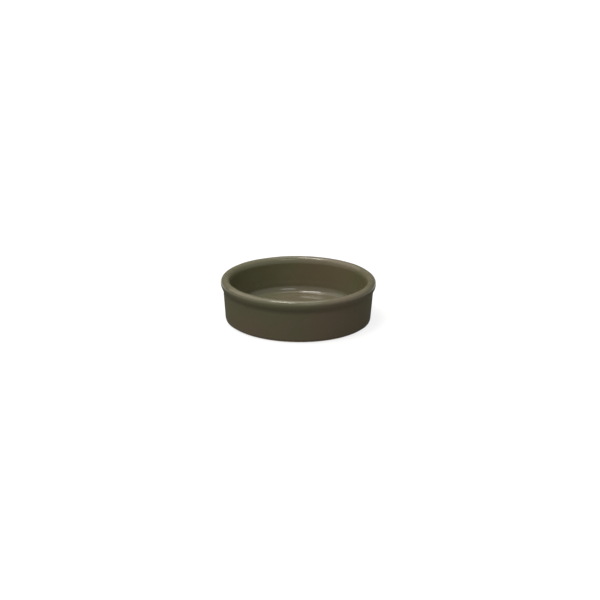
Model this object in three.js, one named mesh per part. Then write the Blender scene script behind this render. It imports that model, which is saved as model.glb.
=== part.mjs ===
// A round tapas dish of fired stoneware: a thick clay body with a rolled lip, under one coat of glaze.
// Millimetres, +Z up. The origin is the centre of the flat ring that the dish stands on.

import * as THREE from 'three';

// The finished, glazed dish
const RIM_DIAMETER = 120;         // across the widest place of the lip
const HEIGHT = 34;                // from the table to the crest of the lip

// The lip, in clay
const LIP_RISE = 2.8;             // from its widest place up to its crest
const LIP_SHOULDER = 3.2;         // from its widest place in to its crest
const LIP_INNER_DROP = 5.6;       // how far below the crest its inner curve is centred
const LIP_OVERHANG = 2.2;         // how far it stands out over the top of the wall
const NECK_DROP = 7.6;            // from its widest place down to the straight wall
const NECK_EASE = 0.45;           // share of the neck that each end of its curve holds its direction

// The wall and the floor, in clay
const WALL_THICKNESS = 4.8;
const WALL_TAPER_DEGREES = 4.5;   // the dish narrows downward by this angle on both sides of its wall
const FLOOR_THICKNESS = 4.8;      // from the table, over the standing ring
const INSIDE_CORNER_RADIUS = 7;
const FOOT_CORNER_RADIUS = 3.4;

// The bare underside
const STANDING_RING_WIDTH = 11;
const RECESS_DEPTH = 0.8;
const RECESS_EDGE_WIDTH = 1.5;    // the turned slope between the standing ring and the recess

// The glaze
const GLAZE_THICKNESS = 0.5;
const GLAZE_LINE_HEIGHT = 1.5;    // where the glaze stops on the foot corner, above the table
const BOND_GAP = 0.02;            // between the glaze and the clay under it

// How finely the curves are faceted
const TURN_STEPS = 64;
const CURVE_STEPS = 6;
const BEAD_STEPS = 4;

// Places worked out from the sizes above, as radius and height
const taper = THREE.MathUtils.degToRad(WALL_TAPER_DEGREES);
const rimRadius = RIM_DIAMETER / 2 - GLAZE_THICKNESS;
const crestHeight = HEIGHT - GLAZE_THICKNESS;
const crestRadius = rimRadius - LIP_SHOULDER;
const lipHeight = crestHeight - LIP_RISE;
const neckRadius = rimRadius - LIP_OVERHANG;
const neckHeight = lipHeight - NECK_DROP;

function outerWallRadius(height) {
  return neckRadius - (neckHeight - height) * Math.tan(taper);
}

function innerWallRadius(height) {
  return outerWallRadius(height) - WALL_THICKNESS / Math.cos(taper);
}

const footCorner = new THREE.Vector2(
  outerWallRadius(FOOT_CORNER_RADIUS) - FOOT_CORNER_RADIUS / Math.cos(taper),
  FOOT_CORNER_RADIUS,
);
const glazeLineAngle = Math.asin(GLAZE_LINE_HEIGHT / FOOT_CORNER_RADIUS - 1);

// The underside and the bare part of the foot corner, from the axis out to the glaze line
function barePath() {
  const recessRadius = footCorner.x - STANDING_RING_WIDTH;
  const path = new THREE.Path();
  path.moveTo(0, RECESS_DEPTH);
  path.lineTo(recessRadius - RECESS_EDGE_WIDTH, RECESS_DEPTH);
  path.lineTo(recessRadius, 0);
  path.lineTo(footCorner.x, 0);
  path.absarc(footCorner.x, footCorner.y, FOOT_CORNER_RADIUS, -Math.PI / 2, glazeLineAngle);
  return path;
}

// The glazed side of the clay, from the glaze line up the wall, over the lip and down to the middle of the floor
function glazedPath() {
  const path = new THREE.Path();
  path.absarc(footCorner.x, footCorner.y, FOOT_CORNER_RADIUS, glazeLineAngle, -taper);
  path.lineTo(neckRadius, neckHeight);
  addNeck(path);
  path.absellipse(crestRadius, lipHeight, LIP_SHOULDER, LIP_RISE, 0, Math.PI / 2);
  addInnerLip(path);
  addInsideCorner(path);
  path.lineTo(0, FLOOR_THICKNESS);
  return path;
}

// The hollow under the lip and the lip's underside, as one curve from the wall to the widest place
function addNeck(path) {
  const hold = NECK_DROP * NECK_EASE;
  path.bezierCurveTo(
    neckRadius + hold * Math.tan(taper), neckHeight + hold,
    rimRadius, lipHeight - hold,
    rimRadius, lipHeight,
  );
}

// A quarter of an ellipse from the crest, just wide enough to run into the inside wall without a break
function addInnerLip(path) {
  const centreHeight = crestHeight - LIP_INNER_DROP;
  const wallDistance = crestRadius - innerWallRadius(centreHeight);
  const slopeRun = LIP_INNER_DROP * Math.tan(taper);
  const width = Math.sqrt(wallDistance ** 2 - slopeRun ** 2);
  const endAngle = Math.PI - Math.atan(slopeRun / width);
  path.absellipse(crestRadius, centreHeight, width, LIP_INNER_DROP, Math.PI / 2, endAngle);
}

// The round corner between the inside wall and the floor
function addInsideCorner(path) {
  const centreHeight = FLOOR_THICKNESS + INSIDE_CORNER_RADIUS;
  const centreRadius = innerWallRadius(centreHeight) - INSIDE_CORNER_RADIUS / Math.cos(taper);
  path.absarc(centreRadius, centreHeight, INSIDE_CORNER_RADIUS, -taper, -Math.PI / 2, true);
}

// Points along a path with the direction that faces away from the clay at each, straight runs kept as one step
function trace(path) {
  const places = [];
  for (const curve of path.curves) {
    const steps = curve.isLineCurve ? 1 : CURVE_STEPS;
    for (let step = places.length ? 1 : 0; step <= steps; step += 1) {
      const along = curve.getTangent(step / steps);
      places.push({ point: curve.getPoint(step / steps), outward: new THREE.Vector2(along.y, -along.x) });
    }
  }
  return places;
}

function offset(places, distance) {
  return places.map(({ point, outward }) => point.clone().addScaledVector(outward, distance));
}

// The rounded lower edge of the glaze, from its bonded side to its free side
function beadPoints(place) {
  const radius = (GLAZE_THICKNESS - BOND_GAP) / 2;
  const centre = place.point.clone().addScaledVector(place.outward, BOND_GAP + radius);
  const down = new THREE.Vector2(place.outward.y, -place.outward.x);
  const points = [];
  for (let step = 1; step < BEAD_STEPS; step += 1) {
    const angle = Math.PI * step / BEAD_STEPS;
    points.push(
      centre.clone()
        .addScaledVector(place.outward, -radius * Math.cos(angle))
        .addScaledVector(down, radius * Math.sin(angle)),
    );
  }
  return points;
}

function turnedMesh(name, points, material) {
  const mesh = new THREE.Mesh(new THREE.LatheGeometry(points, TURN_STEPS), material);
  mesh.name = name;
  return mesh;
}

function clayBody() {
  const bare = trace(barePath());
  const glazed = trace(glazedPath()).slice(1);
  const firedClay = new THREE.MeshStandardMaterial({ color: 0x9c8168, roughness: 0.85, metalness: 0 });
  return turnedMesh('clay_body', offset([...bare, ...glazed], 0), firedClay);
}

function glazeCoat() {
  const covered = trace(glazedPath());
  const bonded = offset(covered, BOND_GAP).reverse();
  const free = offset(covered, GLAZE_THICKNESS);
  const oliveGlaze = new THREE.MeshStandardMaterial({ color: 0x4c4838, roughness: 0.25, metalness: 0 });
  return turnedMesh('glaze_coat', [...bonded, ...beadPoints(covered[0]), ...free], oliveGlaze);
}

// A lathe turns its profile about Y, so the dish is stood up on Z
const tapasDish = new THREE.Group();
tapasDish.name = 'tapas_dish';
tapasDish.rotation.x = Math.PI / 2;
tapasDish.add(clayBody(), glazeCoat());

export default tapasDish;
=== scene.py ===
"""A stoneware tapas dish: its turned clay body, its dark olive glaze, and a plain pale stage to see it on."""
import math

import bpy
from bpy.props import FloatProperty, FloatVectorProperty, IntProperty, PointerProperty
from mathutils import Matrix, Quaternion, Vector


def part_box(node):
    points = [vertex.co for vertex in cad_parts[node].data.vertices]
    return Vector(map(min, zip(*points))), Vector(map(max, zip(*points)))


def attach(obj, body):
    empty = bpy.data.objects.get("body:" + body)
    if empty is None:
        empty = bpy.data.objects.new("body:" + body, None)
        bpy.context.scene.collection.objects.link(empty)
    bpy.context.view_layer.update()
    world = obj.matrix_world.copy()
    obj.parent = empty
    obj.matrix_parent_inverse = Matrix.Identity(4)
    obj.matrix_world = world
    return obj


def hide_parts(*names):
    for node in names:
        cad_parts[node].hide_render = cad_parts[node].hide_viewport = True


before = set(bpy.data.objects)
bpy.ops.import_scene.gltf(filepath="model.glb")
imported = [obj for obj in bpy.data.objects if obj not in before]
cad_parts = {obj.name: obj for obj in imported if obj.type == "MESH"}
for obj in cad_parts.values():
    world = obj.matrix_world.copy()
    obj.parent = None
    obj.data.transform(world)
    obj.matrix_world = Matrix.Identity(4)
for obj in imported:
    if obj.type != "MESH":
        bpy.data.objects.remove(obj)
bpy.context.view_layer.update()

bl_info = {
    "name": "Tapas dish",
    "version": (1, 0, 0),
    "blender": (4, 5, 0),
    "location": "3D View > Sidebar > Tapas dish",
    "description": "Turns, glazes and lights a small stoneware dish with a rolled lip",
    "category": "Object",
}

BODY = "root"
CLAY_NODE = "clay_body"
GLAZE_NODE = "glaze_coat"
MM = 0.001
TURN = 2 * math.pi
BLACK = (0.0, 0.0, 0.0)
WHITE = (1.0, 1.0, 1.0)
CLAY_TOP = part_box(CLAY_NODE)[1]
GLAZE_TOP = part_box(GLAZE_NODE)[1]


# Sizes and colours that a user would change

def metres(name, description, default):
    return FloatProperty(name=name, description=description, default=default, unit="LENGTH", precision=5)


def millimetres(name, description, default):
    """A length property whose default is written in millimetres."""
    return metres(name, description, default * MM)


def degrees(name, description, default):
    """An angle property whose default is written in degrees."""
    return FloatProperty(name=name, description=description, default=math.radians(default), subtype="ANGLE")


def fraction(name, description, default):
    return FloatProperty(name=name, description=description, default=default, subtype="FACTOR")


def count(name, description, default):
    """A number of faces, never fewer than the three that a closed shape needs."""
    return IntProperty(name=name, description=description, default=default, min=3)


def tint(name, description, default):
    return FloatVectorProperty(name=name, description=description, default=default, subtype="COLOR")


def watts(name, description, default):
    return FloatProperty(name=name, description=description, default=default, unit="POWER")


def pixels(name, description, default):
    return FloatProperty(name=name, description=description, default=default, subtype="PIXEL")


class DishForm(bpy.types.PropertyGroup):
    """Sizes of the clay and of the glaze on it."""

    rim_radius: metres("Rim radius", "Out to the widest place of the clay lip", CLAY_TOP.x)
    crest_height: metres("Crest height", "Up to the crest of the clay lip", CLAY_TOP.z)
    glaze_thickness: metres("Glaze", "Thickness of the glaze on the wall", GLAZE_TOP.x - CLAY_TOP.x)
    lip_rise: millimetres("Lip rise", "From the lip's widest place up to its crest", 2.8)
    lip_shoulder: millimetres("Lip shoulder", "From the lip's widest place in to its crest", 3.2)
    lip_inner_drop: millimetres("Lip inner drop", "How far below the crest the inner curve is centred", 5.6)
    lip_overhang: millimetres("Lip overhang", "How far the lip stands out over the wall", 2.2)
    neck_drop: millimetres("Neck drop", "From the lip's widest place down to the straight wall", 7.6)
    neck_ease: fraction("Neck ease", "Share of the neck that each end of its curve holds its direction", 0.45)
    wall: millimetres("Wall", "Thickness of the clay wall", 4.8)
    taper: degrees("Taper", "How much the wall leans in downward", 4.5)
    floor: millimetres("Floor", "Height of the clay floor over the table", 4.8)
    inside_corner: millimetres("Inside corner", "Radius between wall and floor", 7.0)
    foot_corner: millimetres("Foot corner", "Radius between wall and underside", 3.4)
    standing_ring: millimetres("Standing ring", "Width of the flat ring that the dish stands on", 11.0)
    recess: millimetres("Recess", "Depth of the underside inside the ring", 0.8)
    recess_edge: millimetres("Recess edge", "Width of the turned slope into the recess", 1.5)
    glaze_line: millimetres("Glaze line", "Height where the glaze stops on the foot corner", 1.5)


class HandFinish(bpy.types.PropertyGroup):
    """What the wheel, the hand and the kiln leave on the form, and how finely it is meshed."""

    ovality: millimetres("Ovality", "How far the rim is from round", 0.12)
    lip_wave: millimetres("Lip wave", "How far the crest rises and falls round the rim", 0.06)
    unevenness: millimetres("Unevenness", "Broad swelling of the walls, from least to most", 0.1)
    throwing_spacing: millimetres("Throwing spacing", "Between the rings that fingers left inside", 5.2)
    throwing_depth: millimetres("Throwing depth", "Depth of those rings", 0.03)
    trimming_spacing: millimetres("Trimming spacing", "Between the tool's lines on the underside", 2.6)
    trimming_depth: millimetres("Trimming depth", "Depth of those lines", 0.1)
    glaze_edge_wave: millimetres("Glaze edge wave", "How strongly the glaze line wanders up the foot", 0.7)
    glaze_thin: fraction("Thin", "Share of the glaze that runs off the crest", 0.15)
    glaze_ripple: fraction("Ripple", "Share by which the glaze is uneven, from least to most", 0.7)
    glaze_pool: fraction("Pool", "Share of glaze added in the inside corner", 0.5)
    around: count("Around", "Faces round the clay", 192)
    glaze_around: count("Glaze around", "Faces round the glaze", 240)
    along: count("Along", "Faces along the clay's outline", 320)
    glaze_free: count("Glaze free", "Faces along the glaze's free side", 300)
    glaze_bonded: count("Glaze bonded", "Faces along its bonded side", 80)
    seed: FloatProperty(
        name="Seed", description="Which of the possible hand-made dishes this is", default=3.7)


class DishColours(bpy.types.PropertyGroup):
    """Colours of the finishes, as linear values."""

    olive: tint("Olive", "The glaze at its full thickness", (0.087, 0.085, 0.049))
    umber: tint("Umber", "Warmer clouds in the glaze", (0.101, 0.081, 0.053))
    thin_glaze: tint("Thin glaze", "Where the clay shines through", (0.125, 0.108, 0.074))
    iron: tint("Iron", "Specks in the glaze", (0.030, 0.021, 0.012))
    clay: tint("Clay", "Bare fired clay", (0.42, 0.29, 0.19))
    clay_dark: tint("Dark clay", "Toasted clay and grog", (0.25, 0.15, 0.085))
    floor: tint("Floor", "The stage's floor", (0.20, 0.20, 0.20))


class StudioSet(bpy.types.PropertyGroup):
    """Camera and lamps."""

    camera_distance: metres("Distance", "From the camera to its aim", 1.5)
    camera_elevation: degrees("Elevation", "Of the camera over the table", 18.4)
    camera_roll: degrees("Roll", "Of the camera about its own line of sight", 0.614)
    aim_height: millimetres("Aim height", "Of the point that the camera looks at", 17.0)
    image_scale: pixels("Image scale", "Pixels for one millimetre at the aim", 1.292)
    aim_column: pixels("Aim column", "Of the aim, from the image's left edge", 298.19)
    aim_row: pixels("Aim row", "Of the aim, from the image's top edge", 298.49)
    key_power: watts("Key", "Power of the overhead softbox", 4.5)
    trail_power: watts("Trail", "Power of the dimmer softbox behind it", 2.4)
    front_power: watts("Front", "Power of the softbox over the front", 1.2)
    side_power: watts("Side", "Power of the softbox at the left", 4.2)
    fill_power: watts("Fill", "Power of the broad softbox at the front left", 16.6)
    under_power: watts("Under", "Power of the softbox below the floor", 1.2)
    room_level: fraction("Room", "Light from the pale room all round", 0.62)
    back_level: fraction("Back", "Light from the room low behind the dish", 0.12)


# Node trees written as Python expressions

class Wire:
    """One socket of a node tree. Arithmetic on wires adds the Math nodes that work it out."""

    def __init__(self, bench, socket):
        self.bench = bench
        self.socket = socket

    def math(self, operation, *values):
        return self.bench.node("ShaderNodeMath", dict(enumerate(values)), operation=operation)

    def __add__(self, other):
        return self.math("ADD", self, other)

    def __radd__(self, other):
        return self.math("ADD", other, self)

    def __sub__(self, other):
        return self.math("SUBTRACT", self, other)

    def __rsub__(self, other):
        return self.math("SUBTRACT", other, self)

    def __mul__(self, other):
        return self.math("MULTIPLY", self, other)

    def __rmul__(self, other):
        return self.math("MULTIPLY", other, self)

    def __truediv__(self, other):
        return self.math("DIVIDE", self, other)

    def __rtruediv__(self, other):
        return self.math("DIVIDE", other, self)

    def __pow__(self, other):
        return self.math("POWER", self, other)

    def __rpow__(self, other):
        return self.math("POWER", other, self)

    def __neg__(self):
        return self.math("MULTIPLY", self, -1.0)

    def __abs__(self):
        return self.math("ABSOLUTE", self)

    def __gt__(self, other):
        return self.math("GREATER_THAN", self, other)

    def sine(self):
        return self.math("SINE", self)

    def cosine(self):
        return self.math("COSINE", self)

    def root(self):
        return self.math("SQRT", self)

    def smaller(self, other):
        return self.math("MINIMUM", self, other)

    def larger(self, other):
        return self.math("MAXIMUM", self, other)

    def rise(self, low, high):
        """0 below low and 1 above high, with a smooth step between; it falls where low is above high."""
        if low > high:
            return 1 - self.rise(high, low)
        values = {"Value": self, "From Min": low, "From Max": high}
        return self.bench.node("ShaderNodeMapRange", values, interpolation_type="SMOOTHSTEP")

    def parts(self):
        """The three numbers of a vector."""
        split = self.bench.node("ShaderNodeSeparateXYZ", {0: self}, output=None)
        return [Wire(self.bench, socket) for socket in split.outputs]


class Bench:
    """A node tree, and the one way that nodes are added to it."""

    # A Mix node's sockets for colours, among those that it has for other kinds of value
    MIX_SHARE = 0
    MIX_FIRST = 6
    MIX_SECOND = 7
    MIX_RESULT = 2

    def __init__(self, tree):
        self.tree = tree

    def node(self, kind, values=None, output=0, **settings):
        """Adds a node, makes its settings, then fills its sockets, and gives the wire of one output."""
        made = self.tree.nodes.new(kind)
        for name, setting in settings.items():
            setattr(made, name, setting)
        self.fill(made, values or {})
        if output is None:
            return made
        return Wire(self, made.outputs[output])

    def fill(self, node, values):
        """Links a node's sockets to wires, and sets those that get a plain value."""
        for key, value in values.items():
            if isinstance(value, Wire):
                self.tree.links.new(value.socket, node.inputs[key])
            else:
                node.inputs[key].default_value = value

    def vector(self, x, y, z):
        return self.node("ShaderNodeCombineXYZ", {"X": x, "Y": y, "Z": z})

    def noise(self, place, scale, detail=2.0, roughness=0.5):
        """Soft noise from 0 to 1; scale is how many of its clouds fit in one unit of the place."""
        values = {"Vector": place, "Scale": scale, "Detail": detail, "Roughness": roughness}
        return self.node("ShaderNodeTexNoise", values)

    def swing(self, place, scale, **settings):
        """The same noise, from -0.5 to 0.5."""
        return self.noise(place, scale, **settings) - 0.5

    def spots(self, place, scale):
        """How far it is to the nearest of many scattered spots, and two numbers that are that spot's own."""
        made = self.node("ShaderNodeTexVoronoi", {"Vector": place, "Scale": scale}, output=None)
        chance, size, _ = Wire(self, made.outputs["Color"]).parts()
        return Wire(self, made.outputs["Distance"]), chance, size

    def blend(self, share, first, second, **settings):
        """A colour between two, by the share of the second."""
        first, second = [c if isinstance(c, Wire) else rgba(c) for c in (first, second)]
        values = {self.MIX_SHARE: share, self.MIX_FIRST: first, self.MIX_SECOND: second}
        return self.node("ShaderNodeMix", values, self.MIX_RESULT, data_type="RGBA", **settings)


def rgba(colour):
    return (*colour, 1.0)


# Outlines of the turned clay, as radius and height

class Outline:
    """Points of a turned outline, added run by run, close enough together to look round."""

    STEP = 0.35 * MM
    FEWEST_STEPS = 2

    def __init__(self, start):
        self.points = [Vector(start)]

    def run(self, place, length):
        """Adds the points of place(t), for t from 0 to 1, along a run of about that length."""
        steps = max(self.FEWEST_STEPS, math.ceil(length / self.STEP))
        self.points += [Vector(place(i / steps)) for i in range(1, steps + 1)]

    def line(self, end):
        start = self.points[-1].copy()
        end = Vector(end)
        self.run(lambda t: start.lerp(end, t), (end - start).length)

    def arc(self, centre, radii, start, end):
        """Part of an ellipse, from one angle to another."""
        def place(t):
            angle = start + (end - start) * t
            return centre[0] + radii[0] * math.cos(angle), centre[1] + radii[1] * math.sin(angle)

        self.run(place, max(radii) * abs(end - start))

    def bezier(self, *handles):
        """A curve by its two handles and its end."""
        start = self.points[-1].copy()
        a, b, end = (Vector(h) for h in handles)

        def place(t):
            return start * (1 - t) ** 3 + a * 3 * t * (1 - t) ** 2 + b * 3 * t * t * (1 - t) + end * t ** 3

        self.run(place, (end - start).length)


class Profile:
    """Places on the clay's outline, and the runs between them."""

    def __init__(self, form):
        self.form = form
        self.crest_radius = form.rim_radius - form.lip_shoulder
        self.lip_height = form.crest_height - form.lip_rise
        self.neck_radius = form.rim_radius - form.lip_overhang
        self.neck_height = self.lip_height - form.neck_drop
        lean = math.cos(form.taper)
        foot_radius = self.outer_wall(form.foot_corner) - form.foot_corner / lean
        self.foot_centre = Vector((foot_radius, form.foot_corner))
        self.glaze_line_angle = math.asin(form.glaze_line / form.foot_corner - 1)
        corner_height = form.floor + form.inside_corner
        corner_radius = self.inner_wall(corner_height) - form.inside_corner / lean
        self.corner_centre = Vector((corner_radius, corner_height))

    def outer_wall(self, height):
        """Radius of the wall's outer face at a height."""
        return self.neck_radius - (self.neck_height - height) * math.tan(self.form.taper)

    def inner_wall(self, height):
        """Radius of the wall's inner face at a height."""
        return self.outer_wall(height) - self.form.wall / math.cos(self.form.taper)

    def underside(self):
        """From the axis across the recess and the standing ring to the glaze line on the foot corner."""
        form = self.form
        ring_start = self.foot_centre.x - form.standing_ring
        outline = Outline((0.0, form.recess))
        outline.line((ring_start - form.recess_edge, form.recess))
        outline.line((ring_start, 0.0))
        outline.line((self.foot_centre.x, 0.0))
        outline.arc(self.foot_centre, (form.foot_corner,) * 2, -math.pi / 2, self.glaze_line_angle)
        return outline

    def glaze_start(self):
        """The start of an outline that runs up from the glaze line."""
        angle = self.glaze_line_angle
        return Outline(self.foot_centre + self.form.foot_corner * Vector((math.cos(angle), math.sin(angle))))

    def add_glazed_side(self, outline):
        """From the glaze line up the wall, over the lip and down to the middle of the floor."""
        form = self.form
        outline.arc(self.foot_centre, (form.foot_corner,) * 2, self.glaze_line_angle, -form.taper)
        outline.line((self.neck_radius, self.neck_height))
        self.add_neck(outline)
        shoulder_centre = (self.crest_radius, self.lip_height)
        outline.arc(shoulder_centre, (form.lip_shoulder, form.lip_rise), 0.0, math.pi / 2)
        self.add_inner_lip(outline)
        outline.arc(self.corner_centre, (form.inside_corner,) * 2, -form.taper, -math.pi / 2)
        outline.line((0.0, form.floor))
        return outline

    def add_neck(self, outline):
        """The hollow under the lip and the lip's underside, from the wall to the widest place."""
        form = self.form
        hold = form.neck_drop * form.neck_ease
        outline.bezier(
            (self.neck_radius + hold * math.tan(form.taper), self.neck_height + hold),
            (form.rim_radius, self.lip_height - hold),
            (form.rim_radius, self.lip_height),
        )

    def add_inner_lip(self, outline):
        """A quarter of an ellipse from the crest that runs into the inside wall without a break."""
        form = self.form
        centre_height = form.crest_height - form.lip_inner_drop
        wall_distance = self.crest_radius - self.inner_wall(centre_height)
        slope_run = form.lip_inner_drop * math.tan(form.taper)
        width = math.sqrt(wall_distance ** 2 - slope_run ** 2)
        end = math.pi - math.atan(slope_run / width)
        outline.arc((self.crest_radius, centre_height), (width, form.lip_inner_drop), math.pi / 2, end)


def outline_curve(name, outline):
    """A curve object through an outline's points, in the XZ plane."""
    data = bpy.data.curves.new(name, "CURVE")
    data.dimensions = "3D"
    spline = data.splines.new("POLY")
    spline.points.add(len(outline.points) - 1)
    for point, (radius, height) in zip(spline.points, outline.points):
        point.co = (radius, 0.0, height, 1.0)
    curve = bpy.data.objects.new(name, data)
    bpy.context.scene.collection.objects.link(curve)
    return curve


# Geometry Nodes that turn an outline into a dish

# Each pair below is where something starts to show and where it shows fully
BOND_GAP = 0.02 * MM                      # between the glaze and the clay under it
MERGE_DISTANCE = 0.002 * MM               # joins the grid at the seam and the poles
ROW_GATHER = 1.4                          # draws the rows together toward an outline's start
FREE_ROW = 0.5                            # rows after this one lie on the glaze's free side
FACES_UP = (0.0, 0.05)                    # the upward part of the direction out of the clay
FACES_DOWN = (-0.6, -0.95)                # the same part
FACES_IN = (0.3, 0.05)                    # the part of that direction away from the axis
FROM_AXIS = (0.0, 0.5)                    # in rim radii
SWELL_SCALE = 1.3                         # swellings in one rim radius
SWELL_HEIGHT = (0.0, 0.4)                 # in heights of the dish
LOBES = 2                                 # high places that an oval or a wave has round the rim
WAVE_START = 1.1                          # where round the rim the wave starts, in radians
RING_CHANGE = 90.0                        # how often the rings change in a metre across them
RING_UNEVEN = (0.25, 0.65)                # in the noise that makes some of them fainter
RING_START = (2 * MM, 12 * MM)            # from the axis
RING_TOP = (24 * MM, 10 * MM)             # over the table
TRIM_START = (1 * MM, 5 * MM)             # from the axis
TRIM_HEIGHT = (0.1 * MM, 0.5 * MM)        # over the table, so that the standing ring stays flat
EDGE_SCALE = 2.6                          # wanderings of the glaze line in one rim radius
EDGE_CUT = 0.25                           # noise up to this leaves the line at its lowest
RIPPLE_SCALE = 60.0                       # ripples of the glaze in a metre
CREST_THINS = (-1.6 * MM, -0.2 * MM)      # from the crest
POOL_ACROSS = (-0.2, 0.3)                 # from the inside corner's centre outward, in its radii
POOL_UP = (1.0, 0.3)                      # over the floor, in the same radii


class TurningTree:
    """A node tree that turns an outline round Z, with named inputs."""

    def __init__(self, name, inputs):
        self.tree = bpy.data.node_groups.new(name, "GeometryNodeTree")
        self.bench = Bench(self.tree)
        for label, kind in inputs.items():
            self.tree.interface.new_socket(label, in_out="INPUT", socket_type="NodeSocket" + kind)
        self.tree.interface.new_socket("Geometry", in_out="OUTPUT", socket_type="NodeSocketGeometry")
        source = self.bench.node("NodeGroupInput", output=None)
        self.given = {label: Wire(self.bench, source.outputs[label]) for label in inputs}
        self.path = self.bench.node("GeometryNodeObjectInfo", {"Object": self.given["Path"]}, "Geometry")
        self.length = self.bench.node("GeometryNodeCurveLength", {0: self.path})

    def grid(self, rows):
        """The flat grid that is rolled up, its angle round the dish and its share along the outline."""
        values = {"Vertices X": self.given["Around"] + 1, "Vertices Y": rows + 1}
        grid = self.bench.node("GeometryNodeMeshGrid", values, output=None)
        u, v, _ = Wire(self.bench, grid.outputs["UV Map"]).parts()
        return Wire(self.bench, grid.outputs["Mesh"]), u * TURN, v

    def sample(self, distance):
        """Radius and height on the outline, with the direction that faces out of the clay there."""
        values = {"Curves": self.path, "Length": distance}
        sampler = self.bench.node("GeometryNodeSampleCurve", values, output=None, mode="LENGTH")
        radius, _, height = Wire(self.bench, sampler.outputs["Position"]).parts()
        along_radius, _, along_height = Wire(self.bench, sampler.outputs["Tangent"]).parts()
        return radius, height, along_height, -along_radius

    def throwing_rings(self, angle, distance, radius, height, out_height):
        """The shallow spiral that fingers leave on the floor and low on the inside wall."""
        bench, given = self.bench, self.given
        from_middle = self.length - distance
        turns = from_middle / given["Throwing spacing"] * TURN + angle
        place = bench.vector(angle.cosine() + given["Seed"], angle.sine(), from_middle * RING_CHANGE)
        uneven = bench.noise(place, scale=1.0, detail=1.0).rise(*RING_UNEVEN)
        reach = radius.rise(*RING_START) * height.rise(*RING_TOP) * out_height.rise(*FACES_UP)
        return turns.sine() * given["Throwing depth"] * uneven * reach

    def finish(self, mesh, angle, radius, height):
        """Puts the grid's points round the axis, a little unevenly, and closes the seam and the poles."""
        bench, given = self.bench, self.given
        cosine, sine = angle.cosine(), angle.sine()
        up = height / given["Height"]
        out = (radius / given["Rim"]).rise(*FROM_AXIS)
        place = bench.vector(cosine + given["Seed"], sine, height / given["Rim"])
        swell = bench.swing(place, SWELL_SCALE, detail=1.0) * given["Unevenness"] * up.rise(*SWELL_HEIGHT)
        oval = (LOBES * angle + given["Seed"]).cosine() * given["Ovality"] * up
        wave = (LOBES * angle + WAVE_START).sine() * given["Lip wave"] * up
        moved = radius + (swell + oval) * out
        position = bench.vector(moved * cosine, moved * sine, height + wave * out)
        turned = bench.node("GeometryNodeSetPosition", {"Geometry": mesh, "Position": position})
        closed = bench.node("GeometryNodeMergeByDistance", {"Geometry": turned, "Distance": MERGE_DISTANCE})
        smooth = bench.node("GeometryNodeSetShadeSmooth", {"Geometry": closed})
        real = bench.node("GeometryNodeRealizeInstances", {"Geometry": smooth})
        dressed = bench.node("GeometryNodeSetMaterial", {"Geometry": real, "Material": given["Material"]})
        bench.node("NodeGroupOutput", {"Geometry": dressed}, output=None)
        return self.tree


SHARED_INPUTS = {
    "Path": "Object",
    "Material": "Material",
    "Around": "Int",
    "Along": "Int",
    "Height": "Float",
    "Rim": "Float",
    "Ovality": "Float",
    "Lip wave": "Float",
    "Unevenness": "Float",
    "Seed": "Float",
    "Throwing spacing": "Float",
    "Throwing depth": "Float",
}
BODY_INPUTS = SHARED_INPUTS | {
    "Trimming spacing": "Float",
    "Trimming depth": "Float",
}
COAT_INPUTS = SHARED_INPUTS | {
    "Bonded": "Int",
    "Thickness": "Float",
    "Ripple": "Float",
    "Thin": "Float",
    "Pool": "Float",
    "Pool radius": "Float",
    "Pool height": "Float",
    "Pool reach": "Float",
    "Edge wave": "Float",
}


def body_tree():
    """Turns the whole clay outline, with the trimming tool's lines on the underside."""
    turning = TurningTree("Turned clay", BODY_INPUTS)
    given = turning.given
    mesh, angle, share = turning.grid(given["Along"])
    distance = share ** ROW_GATHER * turning.length
    radius, height, out_radius, out_height = turning.sample(distance)
    rings = turning.throwing_rings(angle, distance, radius, height, out_height)
    under = out_height.rise(*FACES_DOWN) * height.rise(*TRIM_HEIGHT) * radius.rise(*TRIM_START)
    lines = (distance / given["Trimming spacing"] * TURN + angle).sine()
    off = rings + lines * given["Trimming depth"] * under
    return turning.finish(mesh, angle, radius + out_radius * off, height + out_height * off)


def coat_tree():
    """Lays the glaze on the clay's outline: bonded underneath, free on top, rounded off at its lower edge."""
    turning = TurningTree("Glaze coat", COAT_INPUTS)
    bench, given = turning.bench, turning.given
    rows = given["Along"] + given["Bonded"]
    mesh, angle, share = turning.grid(rows)
    row = share * rows - given["Bonded"]
    side = row.smaller(0.0) / given["Bonded"] + row.larger(0.0) / given["Along"]
    place = bench.vector(angle.cosine() + given["Seed"], angle.sine(), 0.0)
    edge = (bench.noise(place, EDGE_SCALE, detail=3.0) - EDGE_CUT).larger(0.0) * given["Edge wave"]
    past_edge = abs(side) ** ROW_GATHER * (turning.length - edge)
    distance = edge + past_edge
    radius, height, out_radius, out_height = turning.sample(distance)
    rounded = (1 - (1 - (past_edge / given["Thickness"]).smaller(1.0)) ** 2).root()
    thinner = (height - given["Height"]).rise(*CREST_THINS) * given["Thin"]
    across = (radius - given["Pool radius"]) / given["Pool reach"]
    over_floor = (height - given["Pool height"]) / given["Pool reach"]
    inside = across.rise(*POOL_ACROSS) * out_radius.rise(*FACES_IN)
    pooled = inside * over_floor.rise(*POOL_UP) * given["Pool"]
    spot = bench.vector(radius * angle.cosine() + given["Seed"], radius * angle.sine(), height)
    ripple = bench.swing(spot, RIPPLE_SCALE, detail=1.5) * given["Ripple"]
    thickness = given["Thickness"] * rounded * (1 - thinner + pooled + ripple)
    rings = turning.throwing_rings(angle, distance, radius, height, out_height)
    off = (row > FREE_ROW) * thickness + BOND_GAP + rings
    return turning.finish(mesh, angle, radius + out_radius * off, height + out_height * off)


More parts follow.
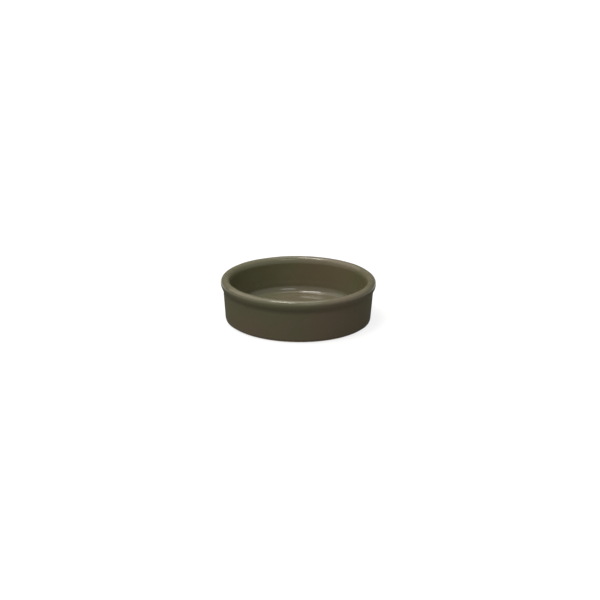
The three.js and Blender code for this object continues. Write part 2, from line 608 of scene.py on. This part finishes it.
def turned_piece(name, tree, settings):
    """A plain mesh object made by a turning tree with those settings."""
    piece = bpy.data.objects.new(name, bpy.data.meshes.new(name))
    bpy.context.scene.collection.objects.link(piece)
    modifier = piece.modifiers.new("Turning", "NODES")
    modifier.node_group = tree
    for socket in tree.interface.items_tree:
        if socket.in_out == "INPUT":
            modifier[socket.identifier] = settings[socket.name]
    depsgraph = bpy.context.evaluated_depsgraph_get()
    mesh = bpy.data.meshes.new_from_object(piece.evaluated_get(depsgraph), depsgraph=depsgraph)
    piece.modifiers.remove(modifier)
    piece.data = mesh
    mesh.name = name
    if not mesh.polygons:
        raise RuntimeError(f"{name} came out empty")
    return piece


def shared_settings(form, finish):
    """The settings that both turning trees take."""
    return {
        "Height": form.crest_height,
        "Rim": form.rim_radius,
        "Ovality": finish.ovality,
        "Lip wave": finish.lip_wave,
        "Unevenness": finish.unevenness,
        "Seed": finish.seed,
        "Throwing spacing": finish.throwing_spacing,
        "Throwing depth": finish.throwing_depth,
    }


# Finishes

# Each scale is how many of a pattern fit in a metre. Each pair is where it starts to show and shows fully.
# A share says how much of a colour is blended in. Heights and dips of the surface are in millimetres.
CLOUD_SCALE = 16.0
CLOUD_DRIFT = Vector((1.019, 0.377, 0.621))  # which part of the endless clouds lies on the dish
CLOUD_EDGES = (0.40, 0.66)
BREAK_SCALE = 170.0
BREAK_EDGES = (0.30, 0.62)
BREAK_UP = (-2.2 * MM, 0.4 * MM)             # from the clay's crest
BREAK_SHARE = 0.3
SPECK_SCALE = 210.0
SPECK_SIZE = (0.16, 0.05)                    # from a speck's middle, in spacings
SPECK_CHANCE = (0.82, 0.86)                  # so that only some of the spots are specks
SPECK_FAINTEST = 0.3
SPECK_SHARE = 0.6
SPECK_DIP = 0.02
SPECK_SMOOTHS = 0.08
GRAIN_SCALE = 900.0
GRAIN_SHARE = 0.5
GRAIN_ROUGHENS = 0.1
WAVES_SCALE = 150.0
WAVES_HEIGHT = 0.05
PEEL_SCALE = 1100.0
PEEL_HEIGHT = 0.006
INNER_TINT = (0.92, 0.915, 0.81)             # darkens the inside wall
INNER_ACROSS = (2.0 * MM, -0.5 * MM)         # from the inside wall's radius at the neck
INNER_UP = (1.0 * MM, 16.0 * MM)             # over the clay floor
POOL_AND_PAINTED_SHADE_TINT = (0.78, 0.78, 0.74)               # darkens the glaze round the floor: partly the pooled glaze's deeper colour, partly painted shade in the inside corner
POOL_AND_PAINTED_SHADE_FOOT = (0.8 * MM, 2.8 * MM)             # over the clay floor
POOL_AND_PAINTED_SHADE_TOP = (8.0 * MM, 4.0 * MM)              # over the clay floor
SATIN_ACROSS = (-2.3 * MM, 0.2 * MM)         # from the crest's radius
SATIN_UP = (1.4 * MM, -0.5 * MM)             # from the lip's widest place
SATIN_DULLS = 0.95
CREST_DULLS = 0.1
GLOSS = 0.9
GLOSS_ROUGHNESS = 0.14
GLAZE_ROUGHNESS = 0.5

TOAST_SCALE = 36.0
TOAST_EDGES = (0.35, 0.70)
TOAST_SHARE = 0.6
GROG_SCALE = 520.0
GROG_SIZE = (0.30, 0.12)                     # from a grain's middle, in spacings
GROG_CHANCE = (0.62, 0.66)
GROG_SHARE = 0.8
GROG_DIP = 0.04
CLAY_GRAIN_SCALE = 1300.0
CLAY_GRAIN_HEIGHT = 0.05
CLAY_GRAIN_ROUGHENS = 0.2
TOOL_LINE_SCALE = 1400.0
TOOL_LINE_EDGE = 0.5                         # noise above this is a dark line
TOOL_LINE_SHARE = 0.6
TOOL_LINE_HEIGHT = 0.05
FLASH_UP = (0.5 * MM, 1.6 * MM)              # over the table
FLASH_SHARE = 0.7
CLAY_ROUGHNESS = 0.76


def new_material(name):
    """A new material, its bench, its Principled shader, and the place on the dish as a wire."""
    material = bpy.data.materials.new(name)
    material.use_nodes = True
    bench = Bench(material.node_tree)
    place = bench.node("ShaderNodeTexCoord", output="Object")
    return material, bench, material.node_tree.nodes["Principled BSDF"], place


def round_place(place):
    """How far a place is from the dish's axis, and its height."""
    x, y, height = place.parts()
    return (x * x + y * y).root(), height


def iron_specks(bench, place):
    """Where the iron specks are, some of them fainter than others."""
    distance, chance, size = bench.spots(place, SPECK_SCALE)
    strength = SPECK_FAINTEST + size * (1 - SPECK_FAINTEST)
    return distance.rise(*SPECK_SIZE) * chance.rise(*SPECK_CHANCE) * strength


def glaze_zones(profile, radius, height):
    """Where the inside wall, the pool of glaze round the floor with the painted shade in the inside corner,
    and the satin outside are.
    """
    across = (radius - profile.inner_wall(profile.neck_height)).rise(*INNER_ACROSS)
    over_floor = height - profile.form.floor
    inner = across * over_floor.rise(*INNER_UP)
    # The band round the floor where the glaze pools also carries painted shade for the inside corner
    pooled = across * over_floor.rise(*POOL_AND_PAINTED_SHADE_FOOT) * over_floor.rise(*POOL_AND_PAINTED_SHADE_TOP)
    outside = (radius - profile.crest_radius).rise(*SATIN_ACROSS)
    satin = outside * (height - profile.lip_height).rise(*SATIN_UP)
    return inner, pooled, satin


def glaze_material(colours, profile):
    """Dark olive glaze with brown clouds and iron specks, broken on the crest, and darker where it pools
    round the floor, with painted shade in the inside corner.

    It is glossy inside and on the lip, and satin outside.
    """
    material, bench, shader, place = new_material("olive_glaze")
    radius, height = round_place(place)
    drifted = bench.node("ShaderNodeMapping", {"Vector": place, "Location": CLOUD_DRIFT})
    clouds = bench.noise(drifted, CLOUD_SCALE, detail=3.0, roughness=0.4).rise(*CLOUD_EDGES)
    grain = bench.swing(place, GRAIN_SCALE, detail=3.0, roughness=0.6)
    crest = (height - profile.form.crest_height).rise(*BREAK_UP)
    breaks = crest * bench.noise(place, BREAK_SCALE, detail=3.0).rise(*BREAK_EDGES)
    speck = iron_specks(bench, place)
    inner, pooled, satin = glaze_zones(profile, radius, height)
    colour = bench.blend(clouds, colours.olive, colours.umber)
    colour = bench.blend(inner, colour, INNER_TINT, blend_type="MULTIPLY")
    # Painted shade: darkens the inside corner round the floor, where the glaze also pools
    colour = bench.blend(pooled, colour, POOL_AND_PAINTED_SHADE_TINT, blend_type="MULTIPLY")
    colour = bench.blend(breaks * BREAK_SHARE, colour, colours.thin_glaze)
    colour = bench.blend(speck * SPECK_SHARE, colour, colours.iron)
    colour = bench.blend(grain * GRAIN_SHARE, colour, colours.thin_glaze)
    waves = bench.noise(place, WAVES_SCALE) * WAVES_HEIGHT
    peel = bench.noise(place, PEEL_SCALE) * PEEL_HEIGHT
    surface = waves + peel - speck * SPECK_DIP
    bench.fill(shader, {
        "Base Color": colour,
        "Roughness": GLAZE_ROUGHNESS + grain * GRAIN_ROUGHENS - speck * SPECK_SMOOTHS,
        "Normal": bench.node("ShaderNodeBump", {"Distance": MM, "Height": surface}),
        "Coat Weight": (GLOSS - crest * CREST_DULLS) * (1 - satin * SATIN_DULLS),
        "Coat Roughness": GLOSS_ROUGHNESS,
        "Specular IOR Level": 0.0,
    })
    return material


def clay_material(colours):
    """Bare fired clay: buff, toasted in patches, with grog in it and the trimming tool's lines."""
    material, bench, shader, place = new_material("fired_clay")
    radius, height = round_place(place)
    toast = bench.noise(place, TOAST_SCALE, detail=4.0, roughness=0.6).rise(*TOAST_EDGES)
    grain = bench.noise(place, CLAY_GRAIN_SCALE, detail=3.0, roughness=0.65)
    distance, chance, _ = bench.spots(place, GROG_SCALE)
    grog = distance.rise(*GROG_SIZE) * chance.rise(*GROG_CHANCE)
    drawn = bench.noise(bench.vector(radius, 0.0, 0.0), TOOL_LINE_SCALE)
    lines = (drawn - TOOL_LINE_EDGE).larger(0.0)
    flash = height.rise(*FLASH_UP)
    colour = bench.blend(toast * TOAST_SHARE, colours.clay, colours.clay_dark)
    colour = bench.blend(lines * TOOL_LINE_SHARE, colour, colours.clay_dark)
    colour = bench.blend(grog * GROG_SHARE, colour, colours.clay_dark)
    colour = bench.blend(flash * FLASH_SHARE, colour, colours.clay_dark)
    surface = grain * CLAY_GRAIN_HEIGHT + drawn * TOOL_LINE_HEIGHT - grog * GROG_DIP
    bench.fill(shader, {
        "Base Color": colour,
        "Roughness": CLAY_ROUGHNESS + grain * CLAY_GRAIN_ROUGHENS,
        "Normal": bench.node("ShaderNodeBump", {"Distance": MM, "Height": surface}),
    })
    return material


# Operators

class TAPAS_OT_turn_body(bpy.types.Operator):
    """Turn the clay body with its bare underside"""

    bl_idname = "tapas.turn_body"
    bl_label = "Turn the clay body"

    def execute(self, context):
        form, finish = context.scene.dish_form, context.scene.hand_finish
        profile = Profile(form)
        path = outline_curve("clay_outline", profile.add_glazed_side(profile.underside()))
        settings = shared_settings(form, finish) | {
            "Path": path,
            "Material": clay_material(context.scene.dish_colours),
            "Around": finish.around,
            "Along": finish.along,
            "Trimming spacing": finish.trimming_spacing,
            "Trimming depth": finish.trimming_depth,
        }
        piece = turned_piece("stoneware_body", body_tree(), settings)
        bpy.data.objects.remove(path)
        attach(piece, BODY)
        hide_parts(CLAY_NODE)
        return {"FINISHED"}


class TAPAS_OT_lay_glaze(bpy.types.Operator):
    """Lay the glaze over the inside, the lip and the outside wall"""

    bl_idname = "tapas.lay_glaze"
    bl_label = "Lay the glaze"

    def execute(self, context):
        form, finish = context.scene.dish_form, context.scene.hand_finish
        profile = Profile(form)
        path = outline_curve("glazed_outline", profile.add_glazed_side(profile.glaze_start()))
        settings = shared_settings(form, finish) | {
            "Path": path,
            "Material": glaze_material(context.scene.dish_colours, profile),
            "Around": finish.glaze_around,
            "Along": finish.glaze_free,
            "Bonded": finish.glaze_bonded,
            "Thickness": form.glaze_thickness - BOND_GAP,
            "Ripple": finish.glaze_ripple,
            "Thin": finish.glaze_thin,
            "Pool": finish.glaze_pool,
            "Pool radius": profile.corner_centre.x,
            "Pool height": form.floor,
            "Pool reach": form.inside_corner,
            "Edge wave": finish.glaze_edge_wave,
        }
        piece = turned_piece("olive_glaze_coat", coat_tree(), settings)
        bpy.data.objects.remove(path)
        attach(piece, BODY)
        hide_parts(GLAZE_NODE)
        return {"FINISHED"}


# The stage

IMAGE_SIDE = 600                  # pixels
IMAGE_MIDDLE = 0.5                # as a share of the side
SENSOR_WIDTH = 36.0               # millimetres
FLOOR_SIDE = 14.0                 # metres
FLOOR_CORNERS = ((-1, -1), (1, -1), (1, 1), (-1, 1))
FLOOR_ROUGHNESS = 0.9
FLOOR_STRENGTH = 1.0              # at which white shows as white
NEAR_LIFT = 0.8                   # how white the floor shows by itself near the dish, where shadow falls
WHITE_REACH = (0.16, 0.45)        # from the axis, where the floor turns to full white
UNDER_DISH = 0.052                # radius of the hidden part of the floor that is left open
BACK_REACH = (-0.1, 0.75)         # the part of a direction toward the back, where the room grows dim
BACK_TOP = (0.8, 0.4)             # the upward part of it
LAMP_COLOUR = (1.0, 0.965, 0.91)
# Each softbox's place, its width and depth in metres, and whether the glaze mirrors it
SOFTBOXES = {
    "key": ((-0.22, -0.08, 1.05), (0.4, 0.2), True),
    "trail": ((-0.04, 0.26, 1.05), (0.64, 0.4), True),
    "front": ((0.36, -0.8, 1.05), (0.5, 0.2), True),
    "side": ((-0.8, 0.35, 1.0), (1.0, 1.3), True),
    "fill": ((-0.54, -0.75, 1.45), (0.9, 0.7), False),
    "under": ((-0.75, 0.35, -0.22), (0.3, 0.3), True),
}


def seen_directly(bench):
    """1 for rays that show the stage itself, straight or in a reflection."""
    path = bench.node("ShaderNodeLightPath", output=None)
    names = ("Is Camera Ray", "Is Glossy Ray", "Is Transmission Ray")
    camera, glossy, through = [Wire(bench, path.outputs[name]) for name in names]
    return camera.larger(glossy).larger(through)


def floor_material(colour):
    """Pale floor that goes to white away from the dish, keeps its shadow, and lets the underside be seen."""
    material, bench, shader, place = new_material("pale_floor")
    radius, _ = round_place(place)
    lift = seen_directly(bench) * (NEAR_LIFT + radius.rise(*WHITE_REACH) * (1 - NEAR_LIFT))
    bench.fill(shader, {
        "Base Color": rgba(colour),
        "Roughness": FLOOR_ROUGHNESS,
        "Specular IOR Level": 0.0,
        "Emission Color": bench.blend(lift, BLACK, WHITE),
        "Emission Strength": FLOOR_STRENGTH,
    })
    below = bench.node("ShaderNodeNewGeometry", output="Backfacing")
    open_part = below.larger(1 - (radius > UNDER_DISH))
    clear = bench.node("ShaderNodeBsdfTransparent")
    both = bench.node("ShaderNodeMixShader", {0: open_part, 1: Wire(bench, shader.outputs[0]), 2: clear})
    bench.fill(material.node_tree.nodes["Material Output"], {"Surface": both})
    return material


def add_floor(colour):
    """A large square of floor at the height of the table."""
    half = FLOOR_SIDE / 2
    mesh = bpy.data.meshes.new("floor")
    mesh.from_pydata([(x * half, y * half, 0.0) for x, y in FLOOR_CORNERS], [], [(0, 1, 2, 3)])
    mesh.materials.append(floor_material(colour))
    floor = bpy.data.objects.new("floor", mesh)
    bpy.context.scene.collection.objects.link(floor)


def add_softbox(name, place, size, mirrored, power, aim):
    """A rectangular lamp that faces the aim, with its width level and along X as far as that goes."""
    data = bpy.data.lights.new(name, "AREA")
    data.color = LAMP_COLOUR
    data.shape = "RECTANGLE"
    data.size, data.size_y = size
    data.energy = power
    lamp = bpy.data.objects.new(name, data)
    lamp.location = place
    behind = (Vector(place) - aim).normalized()
    width = (Vector((1.0, 0.0, 0.0)) - behind * behind.x).normalized()
    lamp.rotation_mode = "QUATERNION"
    lamp.rotation_quaternion = Matrix((width, behind.cross(width), behind)).transposed().to_quaternion()
    lamp.visible_camera = False
    lamp.visible_glossy = mirrored
    bpy.context.scene.collection.objects.link(lamp)


def add_room(level, back_level):
    """A pale room that lights the dish softly from all round, and less from low behind it."""
    world = bpy.data.worlds.new("pale_room")
    world.use_nodes = True
    bench = Bench(world.node_tree)
    _, toward_back, up = bench.node("ShaderNodeTexCoord", output="Generated").parts()
    dim = toward_back.rise(*BACK_REACH) * up.rise(*BACK_TOP)
    background = world.node_tree.nodes["Background"]
    bench.fill(background, {"Color": rgba(WHITE), "Strength": level + dim * (back_level - level)})
    bpy.context.scene.world = world


def add_camera(studio, aim):
    """A camera that shows the aim at its own pixel of the image, and at the set scale."""
    elevation = studio.camera_elevation
    back = Vector((0.0, -math.cos(elevation), math.sin(elevation)))
    data = bpy.data.cameras.new("camera")
    data.sensor_width = SENSOR_WIDTH
    data.lens = SENSOR_WIDTH * studio.image_scale / MM * studio.camera_distance / IMAGE_SIDE
    data.shift_x = IMAGE_MIDDLE - studio.aim_column / IMAGE_SIDE
    data.shift_y = studio.aim_row / IMAGE_SIDE - IMAGE_MIDDLE
    camera = bpy.data.objects.new("camera", data)
    camera.location = aim + back * studio.camera_distance
    camera.rotation_mode = "QUATERNION"
    roll = Quaternion((0.0, 0.0, 1.0), studio.camera_roll)
    camera.rotation_quaternion = (-back).to_track_quat("-Z", "Y") @ roll
    bpy.context.scene.collection.objects.link(camera)
    bpy.context.scene.camera = camera


class TAPAS_OT_set_stage(bpy.types.Operator):
    """Set the floor, the lamps, the room and the camera"""

    bl_idname = "tapas.set_stage"
    bl_label = "Set the stage"

    def execute(self, context):
        studio = context.scene.studio_set
        aim = Vector((0.0, 0.0, studio.aim_height))
        add_camera(studio, aim)
        add_floor(context.scene.dish_colours.floor)
        for name, (place, size, mirrored) in SOFTBOXES.items():
            add_softbox(f"{name}_softbox", place, size, mirrored, getattr(studio, f"{name}_power"), aim)
        add_room(studio.room_level, studio.back_level)
        context.scene.view_settings.view_transform = "Standard"
        return {"FINISHED"}


class TAPAS_PT_panel(bpy.types.Panel):
    """The dish's sizes, finishes and making steps"""

    bl_idname = "TAPAS_PT_panel"
    bl_label = "Tapas dish"
    bl_space_type = "VIEW_3D"
    bl_region_type = "UI"
    bl_category = "Tapas dish"

    def draw(self, context):
        for operator in OPERATORS:
            self.layout.operator(operator.bl_idname)
        for name in GROUPS:
            box = self.layout.box()
            group = getattr(context.scene, name)
            for key in group.__annotations__:
                box.prop(group, key)


OPERATORS = (TAPAS_OT_turn_body, TAPAS_OT_lay_glaze, TAPAS_OT_set_stage)
GROUPS = {
    "dish_form": DishForm,
    "hand_finish": HandFinish,
    "dish_colours": DishColours,
    "studio_set": StudioSet,
}
CLASSES = (*GROUPS.values(), *OPERATORS, TAPAS_PT_panel)


def register():
    for made in CLASSES:
        bpy.utils.register_class(made)
    for name, group in GROUPS.items():
        setattr(bpy.types.Scene, name, PointerProperty(type=group))


def unregister():
    for name in GROUPS:
        delattr(bpy.types.Scene, name)
    for made in reversed(CLASSES):
        bpy.utils.unregister_class(made)


def main():
    register()
    bpy.ops.tapas.turn_body()
    bpy.ops.tapas.lay_glaze()
    bpy.ops.tapas.set_stage()


if __name__ == "__main__":
    main()
